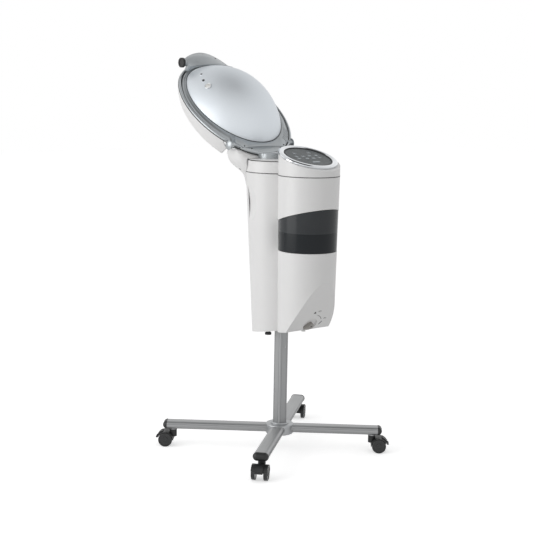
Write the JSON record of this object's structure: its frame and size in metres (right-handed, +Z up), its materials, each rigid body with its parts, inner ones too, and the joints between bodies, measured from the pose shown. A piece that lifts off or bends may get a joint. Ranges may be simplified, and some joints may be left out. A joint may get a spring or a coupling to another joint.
{
  "type": "hair steamer on stand",
  "caption": "Hair steamer: tilting silver hood with visor on a two-lobed body with water tank and keypad, sliding on a square post with wheeled cross base.",
  "frame": {"origin": "on the floor under the post axis", "axes": "+Z up, -Y towards the operator at the control panel, +Y towards the hood, X across; the object is symmetric about X = 0 apart from its controls and vents"},
  "size_m": [0.6608, 0.7456, 1.3369],
  "materials": {
    "hub_grey": "satin grey",
    "anodised": "satin anodised",
    "black_plastic": "fine grain",
    "steel": "turned",
    "wheel_rubber": "moulded",
    "white_plastic": "semi gloss white",
    "silver_plastic": "satin silver grey",
    "silver_paint": "pearl silver",
    "light_plastic": "natural",
    "knob_grey": "satin",
    "brass": "turned",
    "sheet_metal": "sheet",
    "board_green": "board",
    "smoked": "smoked clear",
    "bright_metal": "polished",
    "panel_grey": "fine grain",
    "key_light": "printed",
    "knob_black": "knurled"
  },
  "bodies": {
    "base": {"base_hub_upper": "hub_grey", "base_hub_lower": "hub_grey", "leg_1": "anodised", "leg_2": "anodised", "leg_3": "anodised", "leg_4": "anodised", "leg_end_caps": "black_plastic", "post": "anodised", "post_stop_screw": "steel", "caster_stem_1": "steel", "caster_stem_2": "steel", "caster_stem_3": "steel", "caster_stem_4": "steel"},
    "caster_1": {"caster_fork_1": "black_plastic"},
    "wheels_1": {"caster_wheels_1": "wheel_rubber"},
    "lever_1": {"brake_lever_1": "black_plastic"},
    "caster_2": {"caster_fork_2": "black_plastic"},
    "wheels_2": {"caster_wheels_2": "wheel_rubber"},
    "lever_2": {"brake_lever_2": "black_plastic"},
    "caster_3": {"caster_fork_3": "black_plastic"},
    "wheels_3": {"caster_wheels_3": "wheel_rubber"},
    "lever_3": {"brake_lever_3": "black_plastic"},
    "caster_4": {"caster_fork_4": "black_plastic"},
    "wheels_4": {"caster_wheels_4": "wheel_rubber"},
    "lever_4": {"brake_lever_4": "black_plastic"},
    "carriage": {"main_casing": "white_plastic", "rear_cover": "white_plastic", "top_cap": "white_plastic", "bottom_cover": "white_plastic", "slide_sleeve": "steel", "slide_bushes": "black_plastic", "neck_cover": "white_plastic", "yoke": "silver_plastic", "mist_duct": "light_plastic", "mist_chamber": "light_plastic", "transducers": "brass", "blower_casing": "black_plastic", "power_supply": "sheet_metal", "control_board": "board_green", "power_inlet": "black_plastic", "drain_valve": "light_plastic", "panel_bezel": "bright_metal", "panel_plate": "panel_grey"},
    "impeller": {"impeller": "light_plastic"},
    "drain_knob": {"drain_knob": "knob_grey"},
    "tank": {"water_tank": "smoked", "tank_lid": "smoked"},
    "start_key": {"start_key": "key_light"},
    "key_1": {"key_1": "key_light"},
    "key_2": {"key_2": "key_light"},
    "key_3": {"key_3": "key_light"},
    "key_4": {"key_4": "key_light"},
    "hood": {"hood_ring": "silver_plastic", "hood_dome": "silver_paint", "hood_skirt": "white_plastic", "hood_hinge_caps": "bright_metal", "dome_lens": "light_plastic", "mist_nozzle": "light_plastic"},
    "visor": {"hood_visor": "silver_plastic", "visor_knobs": "knob_black"}
  },
  "joints": [
    {"name": "caster_1_swivel", "type": "hinge", "parent": "base", "child": "caster_1", "pos_m": [0.27505, 0.23994, 0.05], "axis": [0, 0, 1], "continuous": true},
    {"name": "wheels_1_spin", "type": "hinge", "parent": "caster_1", "child": "wheels_1", "pos_m": [0.29389, 0.25638, 0.024], "axis": [-0.6574, 0.7536, 0], "continuous": true},
    {"name": "lever_1_press", "type": "hinge", "parent": "caster_1", "child": "lever_1", "pos_m": [0.29389, 0.25638, 0.024], "axis": [-0.6574, 0.7536, 0], "range_deg": [0, 8]},
    {"name": "caster_2_swivel", "type": "hinge", "parent": "base", "child": "caster_2", "pos_m": [-0.27505, 0.23994, 0.05], "axis": [0, 0, 1], "continuous": true},
    {"name": "wheels_2_spin", "type": "hinge", "parent": "caster_2", "child": "wheels_2", "pos_m": [-0.29389, 0.25638, 0.024], "axis": [-0.6574, -0.7536, 0], "continuous": true},
    {"name": "lever_2_press", "type": "hinge", "parent": "caster_2", "child": "lever_2", "pos_m": [-0.29389, 0.25638, 0.024], "axis": [-0.6574, -0.7536, 0], "range_deg": [0, 8]},
    {"name": "caster_3_swivel", "type": "hinge", "parent": "base", "child": "caster_3", "pos_m": [-0.23737, -0.20707, 0.05], "axis": [0, 0, 1], "continuous": true},
    {"name": "wheels_3_spin", "type": "hinge", "parent": "caster_3", "child": "wheels_3", "pos_m": [-0.25621, -0.22351, 0.024], "axis": [0.6574, -0.7536, 0], "continuous": true},
    {"name": "lever_3_press", "type": "hinge", "parent": "caster_3", "child": "lever_3", "pos_m": [-0.25621, -0.22351, 0.024], "axis": [0.6574, -0.7536, 0], "range_deg": [0, 8]},
    {"name": "caster_4_swivel", "type": "hinge", "parent": "base", "child": "caster_4", "pos_m": [0.23737, -0.20707, 0.05], "axis": [0, 0, 1], "continuous": true},
    {"name": "wheels_4_spin", "type": "hinge", "parent": "caster_4", "child": "wheels_4", "pos_m": [0.25621, -0.22351, 0.024], "axis": [0.6574, 0.7536, 0], "continuous": true},
    {"name": "lever_4_press", "type": "hinge", "parent": "caster_4", "child": "lever_4", "pos_m": [0.25621, -0.22351, 0.024], "axis": [0.6574, 0.7536, 0], "range_deg": [0, 8]},
    {"name": "height_slide", "type": "slide", "parent": "base", "child": "carriage", "axis": [0, 0, 1], "range_m": [-0.035, 0.1]},
    {"name": "hood_tilt", "type": "hinge", "parent": "carriage", "child": "hood", "pos_m": [0, 0.13245, 1.03209], "axis": [1, 0, 0], "range_deg": [-30, 5]},
    {"name": "visor_tilt", "type": "hinge", "parent": "hood", "child": "visor", "pos_m": [0, 0.4294, 1.30024], "axis": [1, 0, 0], "range_deg": [-20, 0]},
    {"name": "tank_slide", "type": "slide", "parent": "carriage", "child": "tank", "axis": [0, -1, 0], "range_m": [0, 0.14]},
    {"name": "drain_turn", "type": "hinge", "parent": "carriage", "child": "drain_knob", "pos_m": [0, -0.14749, 0.45654], "axis": [0, -0.832, -0.5548], "range_deg": [0, 90]},
    {"name": "impeller_spin", "type": "hinge", "parent": "carriage", "child": "impeller", "pos_m": [0, -0.096, 0.536], "axis": [0, 0, 1], "continuous": true},
    {"name": "start_key_press", "type": "slide", "parent": "carriage", "child": "start_key", "axis": [0, 0.3024, -0.9532], "range_m": [0, 0.0008], "stiffness_N_per_m": 900, "springref_m": -0.0004},
    {"name": "key_1_press", "type": "slide", "parent": "carriage", "child": "key_1", "axis": [0, 0.3024, -0.9532], "range_m": [0, 0.0008], "stiffness_N_per_m": 900, "springref_m": -0.0004},
    {"name": "key_2_press", "type": "slide", "parent": "carriage", "child": "key_2", "axis": [0, 0.3024, -0.9532], "range_m": [0, 0.0008], "stiffness_N_per_m": 900, "springref_m": -0.0004},
    {"name": "key_3_press", "type": "slide", "parent": "carriage", "child": "key_3", "axis": [0, 0.3024, -0.9532], "range_m": [0, 0.0008], "stiffness_N_per_m": 900, "springref_m": -0.0004},
    {"name": "key_4_press", "type": "slide", "parent": "carriage", "child": "key_4", "axis": [0, 0.3024, -0.9532], "range_m": [0, 0.0008], "stiffness_N_per_m": 900, "springref_m": -0.0004}
  ]
}
